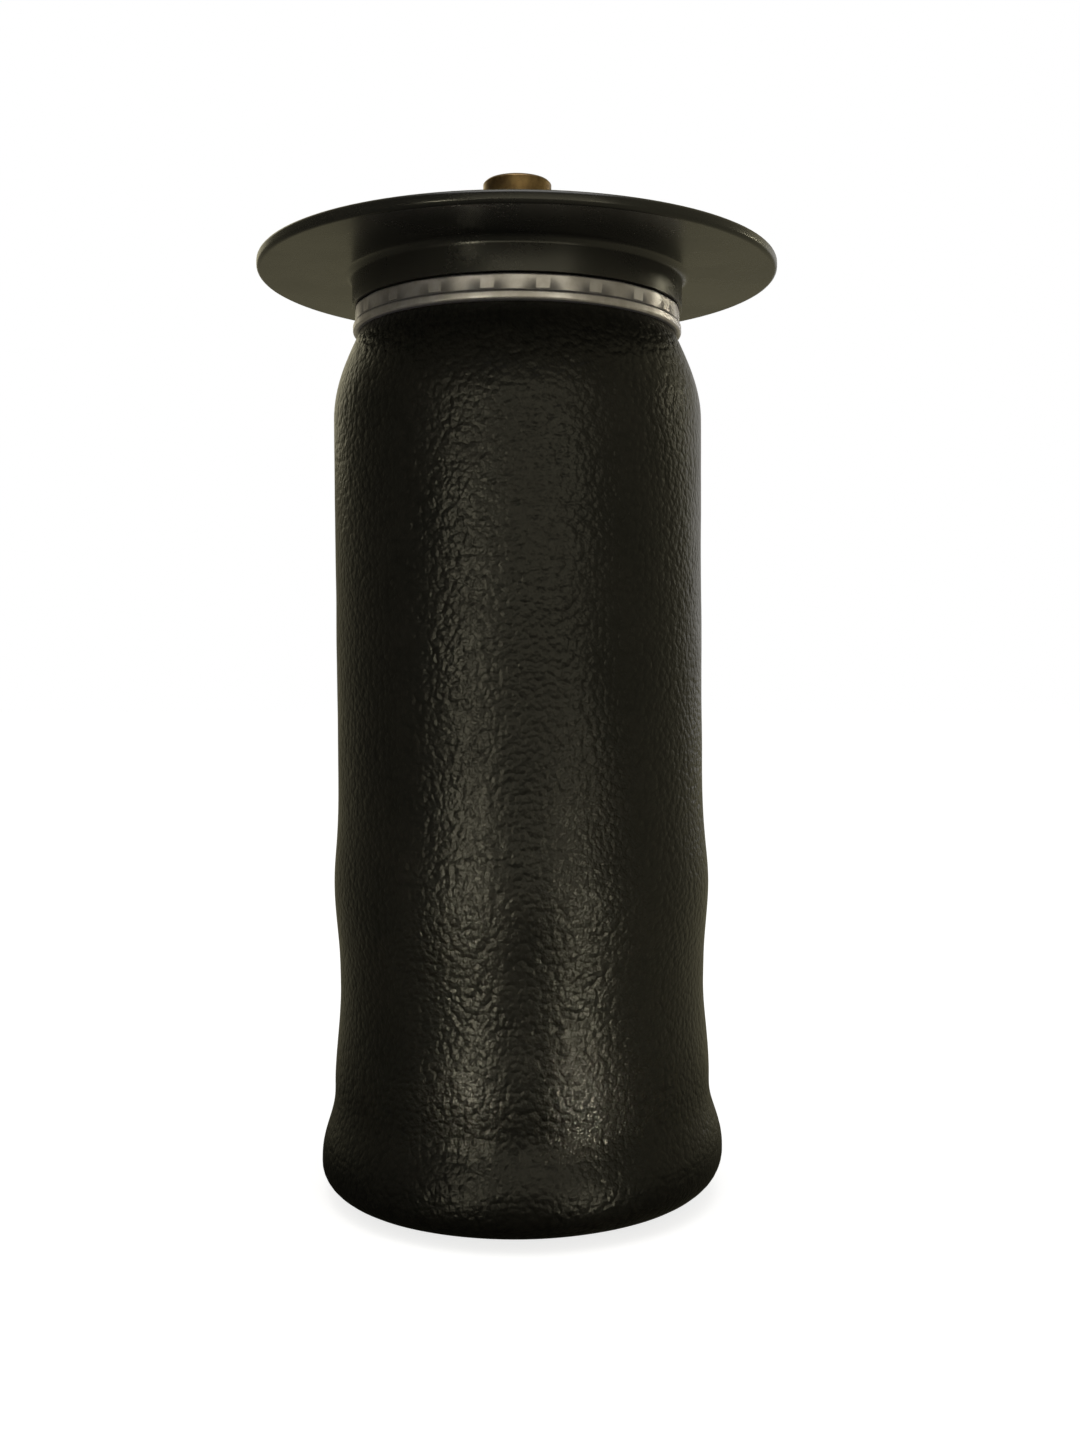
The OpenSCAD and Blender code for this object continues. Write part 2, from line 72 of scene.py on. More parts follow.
# Sizes of the rubber sleeve and of the ring that clamps it
WALL = 3.0 * MM
FIT_GAP = 0.05 * MM
RING_R = ring_high.x
RING_T = 2.0 * MM
NECK_R = RING_R - RING_T - FIT_GAP
SHOULDER_H = 28.0 * MM
WAIST_R = 60.5 * MM
SWELL = 1.8 * MM
SWELL_Z = (lower_ring_low.z + lower_ring_high.z) / 2
SWELL_RUN = 17.5 * MM
ROLL = 2.0 * MM
ROLL_RUN = 32.0 * MM
FLARE_H = 25.0 * MM
LOBE_R = sleeve_high.x
LEG_R = 46.8 * MM
LEG_TOP = lower_ring_high.z + 0.3 * MM
LOBE_BEND_R = (LOBE_R - LEG_R) / 2
LOBE_Z = sleeve_low.z + LOBE_BEND_R

# The slight unevenness of this one sleeve
LEAN = 1.7 * MM
FOLD_TILT = math.radians(1.2)
WAVINESS = 0.35 * MM
WAVE_SIZE = 34 * MM
WAVE_SHARE = 2.0
RIPPLE_SIZE = 13 * MM
RIPPLE_SHARE = 0.5
RIPPLE_SEED = 3.0

# How meshes are finished
SEAM_GAP = 0.002 * MM
WELD_GAP = 0.005 * MM
SHARP_ANGLE = 0.6
SLEEVE_SHARP_ANGLE = math.radians(60)
FLAT_ANGLE = math.radians(0.6)
EASED_ANGLE = math.radians(28)
MOULDED_EASE = 0.35 * MM
CUT_EASE = 0.15 * MM
ARC_SHARE = 0.48
HOLD_SHARE = 0.6
THREAD_FLANK = (0.1, 0.9)


class Field:
    """A value in a node tree, so that formulas read as plain arithmetic."""

    def __init__(self, nodes, socket):
        self.nodes = nodes
        self.socket = socket

    def math(self, operation, *others):
        return self.nodes.math(operation, self, *others)

    def __add__(self, other):
        return self.math("ADD", other)

    def __sub__(self, other):
        return self.math("SUBTRACT", other)

    def __rsub__(self, other):
        return self.nodes.math("SUBTRACT", other, self)

    def __mul__(self, other):
        return self.math("MULTIPLY", other)

    def __truediv__(self, other):
        return self.math("DIVIDE", other)

    def __rtruediv__(self, other):
        return self.nodes.math("DIVIDE", other, self)


class Nodes:
    """Adds nodes to a tree. Inputs go by name or number, as plain values or as fields."""

    def __init__(self, tree):
        self.tree = tree

    def feed(self, socket, value):
        if isinstance(value, Field):
            self.tree.links.new(value.socket, socket)
        else:
            socket.default_value = value

    def add(self, kind, inputs=None, **settings):
        node = self.tree.nodes.new(kind)
        for name, value in settings.items():
            setattr(node, name, value)
        for name, value in (inputs or {}).items():
            self.feed(node.inputs[name], value)
        return node

    def get(self, kind, output, inputs=None, **settings):
        """One output of a new node."""
        return Field(self, self.add(kind, inputs, **settings).outputs[output])

    def math(self, operation, *values):
        return self.get("ShaderNodeMath", 0, dict(enumerate(values)), operation=operation)

    def smooth(self, value, low=0.0, high=1.0):
        """Goes smoothly from 0 to 1 as value goes from low to high."""
        ends = {"Value": value, "From Min": low, "From Max": high}
        return self.get("ShaderNodeMapRange", "Result", ends, interpolation_type="SMOOTHSTEP")

    def smoother(self, value):
        """Goes from 0 to 1 with value, with no sudden bend at either end."""
        return self.get("ShaderNodeMapRange", "Result", {"Value": value}, interpolation_type="SMOOTHERSTEP")

    def parts(self, vector):
        node = self.add("ShaderNodeSeparateXYZ", {0: vector})
        return [Field(self, socket) for socket in node.outputs]

    def vector(self, x, y, z):
        return self.get("ShaderNodeCombineXYZ", 0, {0: x, 1: y, 2: z})

    def vector_math(self, operation, inputs, output="Vector"):
        return self.get("ShaderNodeVectorMath", output, inputs, operation=operation)

    def noise(self, place, scale, detail, roughness=0.5):
        """Noise from 0 to 1, with about this many lumps to the metre."""
        inputs = {"Vector": place, "Scale": scale, "Detail": detail, "Roughness": roughness}
        return self.get("ShaderNodeTexNoise", 0, inputs)

    def soft_noise(self, place, size, seed):
        """Smooth noise from 0 to 1 whose lumps are about this many metres wide."""
        inputs = {"Vector": place, "W": seed, "Scale": 1 / size, "Detail": 1.0, "Roughness": 0.4}
        return self.get("ShaderNodeTexNoise", 0, inputs, noise_dimensions="4D")

    def mix(self, factor, a, b):
        """A colour between a and b."""
        inputs = {0: factor, 6: a, 7: b}
        return self.get("ShaderNodeMix", 2, inputs, data_type="RGBA")

    def mix_shaders(self, factor, a, b):
        return self.get("ShaderNodeMixShader", 0, {0: factor, 1: a, 2: b})


KINDS = {
    "shape": "NodeSocketGeometry",
    "number": "NodeSocketFloat",
    "count": "NodeSocketInt",
    "colour": "NodeSocketColor",
    "material": "NodeSocketMaterial",
}


def new_group(name, kind, inputs, outputs):
    """A node group with named sockets. Gives the tree, its Nodes, and its inputs as fields by name."""
    tree = bpy.data.node_groups.new(name, kind)
    for socket_name, socket_kind, start in inputs:
        socket = tree.interface.new_socket(socket_name, in_out="INPUT", socket_type=KINDS[socket_kind])
        if start is not None:
            socket.default_value = start
    for socket_name, socket_kind in outputs:
        tree.interface.new_socket(socket_name, in_out="OUTPUT", socket_type=KINDS[socket_kind])
    nodes = Nodes(tree)
    entry = nodes.add("NodeGroupInput")
    fields = {name: Field(nodes, entry.outputs[name]) for name, _, _ in inputs}
    return tree, nodes, fields


def close_group(nodes, **outputs):
    end = nodes.add("NodeGroupOutput")
    for name, value in outputs.items():
        nodes.feed(end.inputs[name], value)


def empty_nodes(owner):
    """Turns on the nodes of a material or world and clears them."""
    owner.use_nodes = True
    owner.node_tree.nodes.clear()
    return Nodes(owner.node_tree)


# Shapes


def finished_shape(nodes, shape, material, sharp_angle):
    """Closes the seams, shades the faces smooth up to a sharp angle and sets the material."""
    shape = nodes.get("GeometryNodeMergeByDistance", 0, {"Geometry": shape, "Distance": SEAM_GAP})
    shape = nodes.get("GeometryNodeSetShadeSmooth", 0, {"Geometry": shape})
    angle = nodes.get("GeometryNodeInputMeshEdgeAngle", "Unsigned Angle")
    sharp = {"Geometry": shape, "Selection": angle.math("GREATER_THAN", sharp_angle), "Shade Smooth": False}
    shape = nodes.get("GeometryNodeSetShadeSmooth", 0, sharp, domain="EDGE")
    return nodes.get("GeometryNodeSetMaterial", 0, {"Geometry": shape, "Material": material})


def round_grid(nodes, rows, steps):
    """A grid with rows along a profile and steps round the axis. Gives it with each point's row and angle."""
    grid = nodes.get("GeometryNodeMeshGrid", "Mesh", {"Vertices X": steps + 1, "Vertices Y": rows})
    index = nodes.get("GeometryNodeInputIndex", 0)
    column = (index / rows).math("FLOOR")
    return grid, index - column * rows, column / steps * TURN


def around(nodes, r, angle, z):
    return nodes.vector(r * angle.math("COSINE"), r * angle.math("SINE"), z)


def sleeve_body_r(nodes, field, z):
    """Radius of the sleeve at a height below its shoulder: waist, swelling, start of the roll and flare."""
    waist = field["Waist Radius"]
    off = (z - field["Swell Centre"]) / field["Swell Run"]
    swell = field["Swell"] * (off * off * -1.0).math("EXPONENT")
    flare_top = field["Lobe Height"] + field["Flare Height"]
    roll = field["Roll"] * nodes.smooth((flare_top + field["Roll Run"] - z) / field["Roll Run"])
    spread = nodes.smoother((flare_top - z) / field["Flare Height"])
    flare = (field["Lobe Radius"] - waist - field["Roll"]) * spread
    return waist + swell + roll + flare


def rolled_sleeve_tree():
    """The face of a sleeve that runs from its ring down the wall and round the rolling lobe."""
    inputs = [
        ("Rows", "count", 200),
        ("Steps Round", "count", 200),
        ("Neck Top", "number", 0.3),
        ("Neck Radius", "number", 0.05),
        ("Ring Foot", "number", 0.28),
        ("Shoulder Height", "number", 0.03),
        ("Waist Radius", "number", 0.06),
        ("Swell", "number", 0.002),
        ("Swell Centre", "number", 0.1),
        ("Swell Run", "number", 0.02),
        ("Roll", "number", 0.002),
        ("Roll Run", "number", 0.03),
        ("Flare Height", "number", 0.02),
        ("Lobe Radius", "number", 0.067),
        ("Bend Radius", "number", 0.01),
        ("Lobe Height", "number", 0.012),
        ("Lean", "number", 0.0),
        ("Tilt", "number", 0.0),
        ("Waviness", "number", 0.0),
        ("Seed", "number", 0.0),
        ("Material", "material", None),
    ]
    tree, nodes, field = new_group("Rolled sleeve", "GeometryNodeTree", inputs, [("Shape", "shape")])
    grid, row, angle = round_grid(nodes, field["Rows"], field["Steps Round"])
    bend = field["Bend Radius"]
    fall = field["Neck Top"] - field["Lobe Height"]
    run = row / (field["Rows"] - 1.0) * (fall + bend * math.pi)
    z = field["Neck Top"] - run.math("MINIMUM", fall)
    rolled = (run - fall).math("MAXIMUM", 0.0) / bend

    body_r = sleeve_body_r(nodes, field, z.math("MINIMUM", field["Ring Foot"] - field["Shoulder Height"]))
    down = ((field["Ring Foot"] - z) / field["Shoulder Height"]).math("MAXIMUM", 0.0).math("MINIMUM", 1.0)
    neck = field["Neck Radius"]
    r = neck + (body_r - neck) * (down * (math.pi / 2)).math("SINE")
    r = r + bend * (rolled.math("COSINE") - 1.0)
    z = z - bend * rolled.math("SINE")

    free = down * (1.0 - rolled / math.pi)
    place = around(nodes, field["Waist Radius"], angle, z)
    wave = nodes.soft_noise(place, WAVE_SIZE, field["Seed"]) - 0.5
    ripple = nodes.soft_noise(place, RIPPLE_SIZE, field["Seed"] + RIPPLE_SEED) - 0.5
    r = r + field["Waviness"] * free * (wave * WAVE_SHARE + ripple * RIPPLE_SHARE)
    low = nodes.smooth((field["Neck Top"] - z) / fall) * free
    x, y, z = nodes.parts(around(nodes, r, angle, z))
    place = nodes.vector(x + field["Lean"] * low, y, z + x * field["Tilt"] * low * low)
    shape = nodes.get("GeometryNodeSetPosition", 0, {"Geometry": grid, "Position": place})
    shape = nodes.get("GeometryNodeFlipFaces", 0, {"Mesh": shape})
    close_group(nodes, Shape=finished_shape(nodes, shape, field["Material"], SLEEVE_SHARP_ANGLE))
    return tree


def turned_tree():
    """Turns a profile round the axis. Where its points have a Y of 1, it is swaged, or cut with a thread."""
    inputs = [
        ("Profile", "shape", None),
        ("Steps Round", "count", 96),
        ("Jaws", "number", 1.0),
        ("Flat Depth", "number", 0.0),
        ("Thread Pitch", "number", 0.001),
        ("Thread Depth", "number", 0.0),
        ("Sharp Angle", "number", SHARP_ANGLE),
        ("Material", "material", None),
    ]
    tree, nodes, field = new_group("Turned profile", "GeometryNodeTree", inputs, [("Shape", "shape")])
    rows = nodes.get("GeometryNodeAttributeDomainSize", "Point Count", {"Geometry": field["Profile"]})
    grid, row, angle = round_grid(nodes, rows, field["Steps Round"])
    position = nodes.get("GeometryNodeInputPosition", 0)
    sample = {"Geometry": field["Profile"], "Value": position, "Index": row}
    point = nodes.get("GeometryNodeSampleIndex", 0, sample, data_type="FLOAT_VECTOR")
    r, worked, z = nodes.parts(point)

    jaw = (angle / TURN * field["Jaws"] + 0.5).math("FRACT") - 0.5
    flat = (jaw * TURN).math("COSINE") * -0.5 + 0.5
    phase = (z / field["Thread Pitch"] - angle / TURN).math("FRACT")
    ridge = nodes.smooth((phase * 2.0 - 1.0).math("ABSOLUTE"), *THREAD_FLANK)
    change = field["Thread Depth"] * ridge - field["Flat Depth"] * flat
    place = around(nodes, r + worked * change, angle, z)
    shape = nodes.get("GeometryNodeSetPosition", 0, {"Geometry": grid, "Position": place})
    close_group(nodes, Shape=finished_shape(nodes, shape, field["Material"], field["Sharp Angle"]))
    return tree


SLEEVE_TREE = rolled_sleeve_tree()
TURNED_TREE = turned_tree()


def new_object(name, data):
    made = bpy.data.objects.new(name, data)
    bpy.context.scene.collection.objects.link(made)
    return made


def plain_copy(obj, name):
    """Replaces an object with the plain mesh that its modifiers make, at the origin."""
    graph = bpy.context.evaluated_depsgraph_get()
    mesh = bpy.data.meshes.new_from_object(obj.evaluated_get(graph))
    bpy.data.objects.remove(obj)
    mesh.name = name
    return new_object(name, mesh)


def grown(name, tree, inputs, mesh=None):
    """The plain mesh that a tree makes of its named inputs."""
    holder = new_object(name + "_tree", mesh or bpy.data.meshes.new(name + "_source"))
    modifier = holder.modifiers.new("Tree", "NODES")
    modifier.node_group = tree
    for item in tree.interface.items_tree:
        if item.in_out == "INPUT" and item.name in inputs:
            modifier[item.identifier] = inputs[item.name]
    return plain_copy(holder, name)


def rounded(corners, closed=True, steps=4):
    """The outline through corners (r, z, rounding). A point beside each arc keeps flat faces flat.

    An open outline has no rounding at its first and last corner.
    """
    points = []
    for i, (r, z, rounding) in enumerate(corners):
        here = Vector((r, z))
        if rounding == 0:
            points.append(here)
            continue
        before = Vector(corners[i - 1][:2]) - here
        after = Vector(corners[(i + 1) % len(corners)][:2]) - here
        half = before.angle(after) / 2
        reach = min(rounding / math.tan(half), ARC_SHARE * before.length, ARC_SHARE * after.length)
        radius = reach * math.tan(half)
        a = before.normalized()
        b = after.normalized()
        centre = here + (a + b).normalized() * (radius / math.sin(half))
        start = here + a * reach - centre
        end = here + b * reach - centre
        span = start.angle(end)
        hold = HOLD_SHARE * radius
        if before.length > 2 * reach + 2 * hold:
            points.append(here + a * (reach + hold))
        for step in range(steps + 1):
            t = step / steps
            arc = (start * math.sin((1 - t) * span) + end * math.sin(t * span)) / math.sin(span)
            points.append(centre + arc)
        if after.length > 2 * reach + 2 * hold:
            points.append(here + b * (reach + hold))
    if closed:
        points.append(points[0].copy())
    return points


def unworked(r, z):
    """For a profile that is neither swaged nor threaded anywhere."""
    return 0.0


def profile_mesh(points, worked):
    """Profile points (r, z) in millimetres as a mesh in metres, whose Y says where it is worked."""
    mesh = bpy.data.meshes.new("profile")
    mesh.from_pydata([(r * MM, worked(r, z), z * MM) for r, z in points], [], [])
    return mesh


def turned(name, points, material, steps, worked=unworked, sharp=SHARP_ANGLE, **inputs):
    """A piece turned from a profile that runs up on its outside."""
    named = {key.replace("_", " ").title(): value for key, value in inputs.items()}
    named.update({"Steps Round": steps, "Sharp Angle": sharp, "Material": material})
    return grown(name, TURNED_TREE, named, profile_mesh(points, worked))


# Shader groups that several materials use


def object_place(nodes):
    return nodes.get("ShaderNodeTexCoord", "Object")


# The grain: how far its cells drift, how deep a dome is, and how much domes and pebbles count
DRIFT_SCALE = 300.0
DRIFT = 0.0007
DOME_DROP = 1.9
DOME_SHARE = 0.6
PEBBLES_PER_CELL = 1.6
PEBBLE_SHARE = 0.8

# The breakup: where a patch begins and is whole, and how many specks there are to the metre
PATCH_EDGE = (0.3, 0.7)
SPECK_SCALE = 900.0


def grain_group():
    """Pebbled grain of moulded rubber: small domes with soft creases between them, and lumps over both."""
    inputs = [("Cell Size", "number", 0.002), ("Fine Size", "number", 0.0008), ("Fine Share", "number", 0.3)]
    tree, nodes, field = new_group("Rubber grain", "ShaderNodeTree", inputs, [("Height", "number")])
    place = object_place(nodes)
    drift = nodes.get("ShaderNodeTexNoise", 1, {"Vector": place, "Scale": DRIFT_SCALE, "Detail": 1.0})
    drift = nodes.vector_math("SCALE", {0: drift, "Scale": DRIFT})
    cells = {
        "Vector": nodes.vector_math("ADD", {0: place, 1: drift}),
        "Scale": 1.0 / field["Cell Size"],
        "Smoothness": 0.5,
        "Randomness": 0.9,
    }
    cell = nodes.get("ShaderNodeTexVoronoi", "Distance", cells, feature="SMOOTH_F1")
    dome = 1.0 - cell * cell * DOME_DROP
    pebble = nodes.noise(place, PEBBLES_PER_CELL / field["Cell Size"], detail=1.0)
    coarse = dome * DOME_SHARE + pebble * PEBBLE_SHARE
    fine = nodes.noise(place, 1.0 / field["Fine Size"], detail=2.0)
    close_group(nodes, Height=coarse * (1.0 - field["Fine Share"]) + fine * field["Fine Share"])
    return tree


def breakup_group():
    """Uneven colour and gloss, as handling, dust and age leave them."""
    inputs = [
        ("Colour", "colour", (0.5, 0.5, 0.5, 1)),
        ("Other Colour", "colour", (0.5, 0.5, 0.5, 1)),
        ("Patch Size", "number", 0.02),
        ("Roughness", "number", 0.5),
        ("Spread", "number", 0.1),
    ]
    outputs = [("Colour", "colour"), ("Roughness", "number")]
    tree, nodes, field = new_group("Breakup", "ShaderNodeTree", inputs, outputs)
    place = object_place(nodes)
    cloud = nodes.noise(place, 1.0 / field["Patch Size"], detail=5.0, roughness=0.6)
    patch = nodes.smooth(cloud, *PATCH_EDGE)
    speck = nodes.noise(place, SPECK_SCALE, detail=2.0)
    colour = nodes.mix(patch, field["Colour"], field["Other Colour"])
    roughness = field["Roughness"] + (patch + speck - 1.0) * field["Spread"]
    close_group(nodes, Colour=colour, Roughness=roughness)
    return tree


def turning_group():
    """Fine rings that a lathe leaves, round the spring's axis."""
    inputs = [("Pitch", "number", 0.0003)]
    tree, nodes, field = new_group("Turning marks", "ShaderNodeTree", inputs, [("Height", "number")])
    x, y, z = nodes.parts(object_place(nodes))
    r = (x * x + y * y).math("SQRT")
    line = nodes.vector(0.0, 0.0, (r + z) / field["Pitch"])
    close_group(nodes, Height=nodes.noise(line, 1.0, detail=3.0))
    return tree


def moulding_group():
    """Fine spark-eroded texture of a plastics mould."""
    inputs = [("Size", "number", 0.0004)]
    tree, nodes, field = new_group("Moulded texture", "ShaderNodeTree", inputs, [("Height", "number")])
    speckle = nodes.noise(object_place(nodes), 1.0 / field["Size"], detail=3.0, roughness=0.6)
    close_group(nodes, Height=speckle)
    return tree


GROUPS = {
    "grain": grain_group(),
    "breakup": breakup_group(),
    "turning": turning_group(),
    "moulding": moulding_group(),
}


def use_group(nodes, name, inputs):
    node = nodes.add("ShaderNodeGroup", inputs, node_tree=GROUPS[name])
    return {socket.name: Field(nodes, socket) for socket in node.outputs}


# Materials

GRAIN_SIZES = {"Cell Size": 2.1 * MM, "Fine Size": 0.8 * MM, "Fine Share": 0.2}
# Painted shade in a relief's hollows: the relief heights over which it fades out
PAINTED_SHADE_EDGE = (0.3, 0.9)


def linear(red, green, blue):
    """A colour given as it looks on a screen, from 0 to 255."""
    def channel(value):
        share = value / 255
        return share / 12.92 if share <= 0.04045 else ((share + 0.055) / 1.055) ** 2.4

    return (channel(red), channel(green), channel(blue), 1.0)


def grain(nodes):
    return use_group(nodes, "grain", GRAIN_SIZES)["Height"]


def moulding(size):
    return lambda nodes: use_group(nodes, "moulding", {"Size": size})["Height"]


def turning(pitch):
    return lambda nodes: use_group(nodes, "turning", {"Pitch": pitch})["Height"]


def finish(name, colour, other, patch, roughness, spread, relief, depth, hollow=0.0, **settings):
    """A material of uneven colour and gloss, raised by a relief of some depth, with painted shade in its
    hollows.

    Colour goes over into the other colour in patches of some size, and roughness varies by the spread.
    """
    material = bpy.data.materials.new(name)
    nodes = empty_nodes(material)
    uneven = {
        "Colour": colour,
        "Other Colour": other,
        "Patch Size": patch,
        "Roughness": roughness,
        "Spread": spread,
    }
    made = use_group(nodes, "breakup", uneven)
    height = relief(nodes)
    paint = made["Colour"]
    # Painted shade: the base colour darkens in the relief's hollows, where shade would fall
    if hollow:
        shade = nodes.smooth(height, *PAINTED_SHADE_EDGE) * hollow + (1.0 - hollow)
        paint = nodes.mix(shade, BLACK, paint)
    shader = nodes.add("ShaderNodeBsdfPrincipled", {"Base Color": paint, "Roughness": made["Roughness"]})
    for key, value in settings.items():
        shader.inputs[key.replace("_", " ")].default_value = value
    raised = nodes.get("ShaderNodeBump", 0, {"Height": height, "Strength": 1.0, "Distance": depth})
    nodes.feed(shader.inputs["Normal"], raised)
    nodes.add("ShaderNodeOutputMaterial", {"Surface": Field(nodes, shader.outputs[0])})
    return material


FINISHES = {
    # The rubber's base colour has painted shade in the hollows of its grain
    "sleeve_rubber": dict(
        colour=linear(13, 13, 11), other=linear(17, 16, 13), patch=22 * MM, roughness=0.32, spread=0.06,
        relief=grain, depth=0.34 * MM, hollow=0.4, Specular_IOR_Level=0.26),
    "plate_plastic": dict(
        colour=linear(17, 17, 15), other=linear(22, 21, 18), patch=30 * MM, roughness=0.27, spread=0.06,
        relief=moulding(0.7 * MM), depth=0.003 * MM),
    "piston_plastic": dict(
        colour=linear(30, 30, 28), other=linear(38, 37, 34), patch=16 * MM, roughness=0.42, spread=0.1,
        relief=moulding(0.5 * MM), depth=0.015 * MM),
    "crimp_steel": dict(
        colour=linear(204, 202, 211), other=linear(172, 168, 172), patch=9 * MM, roughness=0.42, spread=0.1,
        relief=turning(0.35 * MM), depth=0.006 * MM, Metallic=1.0),
    "peg_steel": dict(
        colour=linear(176, 178, 180), other=linear(150, 152, 154), patch=5 * MM, roughness=0.25, spread=0.1,
        relief=turning(0.25 * MM), depth=0.006 * MM, Metallic=1.0),
    "zinc_steel": dict(
        colour=linear(172, 176, 182), other=linear(150, 152, 150), patch=6 * MM, roughness=0.34, spread=0.12,
        relief=moulding(0.6 * MM), depth=0.006 * MM, Metallic=1.0),
    "closure_aluminium": dict(
        colour=linear(168, 170, 170), other=linear(150, 151, 150), patch=8 * MM, roughness=0.4, spread=0.1,
        relief=turning(0.4 * MM), depth=0.012 * MM, Metallic=1.0),
    "fitting_brass": dict(
        colour=linear(144, 120, 84), other=linear(98, 78, 54), patch=5 * MM, roughness=0.36, spread=0.14,
        relief=turning(0.22 * MM), depth=0.008 * MM, Metallic=1.0),
    "seal_rubber": dict(
        colour=linear(32, 32, 32), other=linear(40, 40, 39), patch=4 * MM, roughness=0.5, spread=0.1,
        relief=moulding(0.3 * MM), depth=0.01 * MM),
    "collet_plastic": dict(
        colour=linear(36, 36, 35), other=linear(44, 44, 42), patch=4 * MM, roughness=0.38, spread=0.08,
        relief=moulding(0.3 * MM), depth=0.008 * MM),
}
MATERIALS = {name: finish(name, **values) for name, values in FINISHES.items()}


# Pieces


def dress_packed_nodes():
    """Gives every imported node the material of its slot."""
    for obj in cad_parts.values():
        for slot in obj.material_slots:
            slot.material = MATERIALS[slot.material.name.split(".")[0]]


def sleeve_wall():
    """The outer wall, from under the ring to the foot of the rolling lobe."""
    inputs = {
        "Rows": 200,
        "Steps Round": 200,
        "Neck Top": sleeve_high.z,
        "Neck Radius": NECK_R,
        "Ring Foot": ring_low.z,
        "Shoulder Height": SHOULDER_H,
        "Waist Radius": WAIST_R,
        "Swell": SWELL,
        "Swell Centre": SWELL_Z,
        "Swell Run": SWELL_RUN,
        "Roll": ROLL,
        "Roll Run": ROLL_RUN,
        "Flare Height": FLARE_H,
        "Lobe Radius": LOBE_R,
        "Bend Radius": LOBE_BEND_R,
        "Lobe Height": LOBE_Z,
        "Lean": LEAN,
        "Tilt": math.tan(FOLD_TILT),
        "Waviness": WAVINESS,
        "Seed": 4.0,
        "Material": MATERIALS["sleeve_rubber"],
    }
    skin = grown("sleeve_skin", SLEEVE_TREE, inputs)
    wall = skin.modifiers.new("Wall", "SOLIDIFY")
    wall.thickness = WALL
    wall.offset = -1
    wall.use_even_offset = True
    made = plain_copy(skin, "sleeve_wall")
    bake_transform(made)
    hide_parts("sleeve")


def leg_shoulder_r(z, land_r, top, shoulder_h):
    """Radius of the leg at a height where it follows the piston's wall and rounded shoulder."""
    t = min(max((z - top + shoulder_h) / shoulder_h, 0), 1)
    return LEG_R / MM + (land_r - LEG_R / MM) * t * t * (3 - 2 * t)


def sleeve_leg():
    """The rolled-in leg, from the lobe up the piston to the lower ring."""
    shoulder_top = piston_high.z / MM
    shoulder_h = 20.0
    land_r = 36.05
    shoulder_steps = 12
    wall = WALL / MM
    outer = [(LEG_R / MM, LOBE_Z / MM)]
    for i in range(shoulder_steps + 1):
        z = shoulder_top - shoulder_h * (1 - i / shoulder_steps)
        outer.append((leg_shoulder_r(z, land_r, shoulder_top, shoulder_h), z))
    outer.append((land_r, LEG_TOP / MM))
    inner = [(r + wall, z) for r, z in outer]
    points = [Vector(p) for p in inner + outer[::-1] + inner[:1]]
    made = turned("sleeve_leg", points, MATERIALS["sleeve_rubber"], steps=128, sharp=1.0)
    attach(made, "piston_unit")
    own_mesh(made)
    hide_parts("sleeve")


def upper_ring():
    """The swaged ring with its rolled lip, flattened a little by each jaw."""
    r = RING_R / MM
    bore_r = r - RING_T / MM
    band_r = r - 0.55
    low = ring_low.z / MM
    high = ring_high.z / MM
    lip_top = low + 2.5
    band_low = low + 3.1
    jaw_low = low + 3.4
    jaw_r = bore_r + 0.8
    corners = [
        (bore_r, low, 0.2),
        (r, low, 1.1),
        (r, lip_top, 0.9),
        (band_r, band_low, 0.5),
        (band_r, high, 0.6),
        (bore_r, high, 0.2),
    ]

    def pressed(radius, z):
        return 1.0 if radius > jaw_r and z > jaw_low else 0.0

    made = turned(
        "upper_crimp_ring_swaged", rounded(corners, steps=6), MATERIALS["crimp_steel"], steps=720,
        worked=pressed, jaws=20.0, flat_depth=0.25 * MM)
    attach(made, "top_unit")
    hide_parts("upper_crimp_ring")


def eased_copy(node, body, slot, ease):
    """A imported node's own shape with its edges rounded, as a mould or a cutter leaves them."""
    edit = bmesh.new()
    edit.from_mesh(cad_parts[node].data)
    bmesh.ops.remove_doubles(edit, verts=edit.verts, dist=WELD_GAP)
    bmesh.ops.dissolve_limit(edit, angle_limit=FLAT_ANGLE, verts=edit.verts, edges=edit.edges)
    mesh = bpy.data.meshes.new(node + "_source")
    edit.to_mesh(mesh)
    edit.free()
    for name in ("custom_normal", "sharp_face", "sharp_edge"):
        if name in mesh.attributes:
            mesh.attributes.remove(mesh.attributes[name])
    mesh.shade_smooth()
    mesh.materials.clear()
    mesh.materials.append(MATERIALS[slot])
    holder = new_object(node + "_source", mesh)
    bevel = holder.modifiers.new("Ease", "BEVEL")
    bevel.width = ease
    bevel.segments = 2
    bevel.limit_method = "ANGLE"
    bevel.angle_limit = EASED_ANGLE
    bevel.miter_outer = "MITER_ARC"
    holder.modifiers.new("Normals", "WEIGHTED_NORMAL")
    made = plain_copy(holder, node + "_eased")
    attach(made, body)
    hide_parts(node)


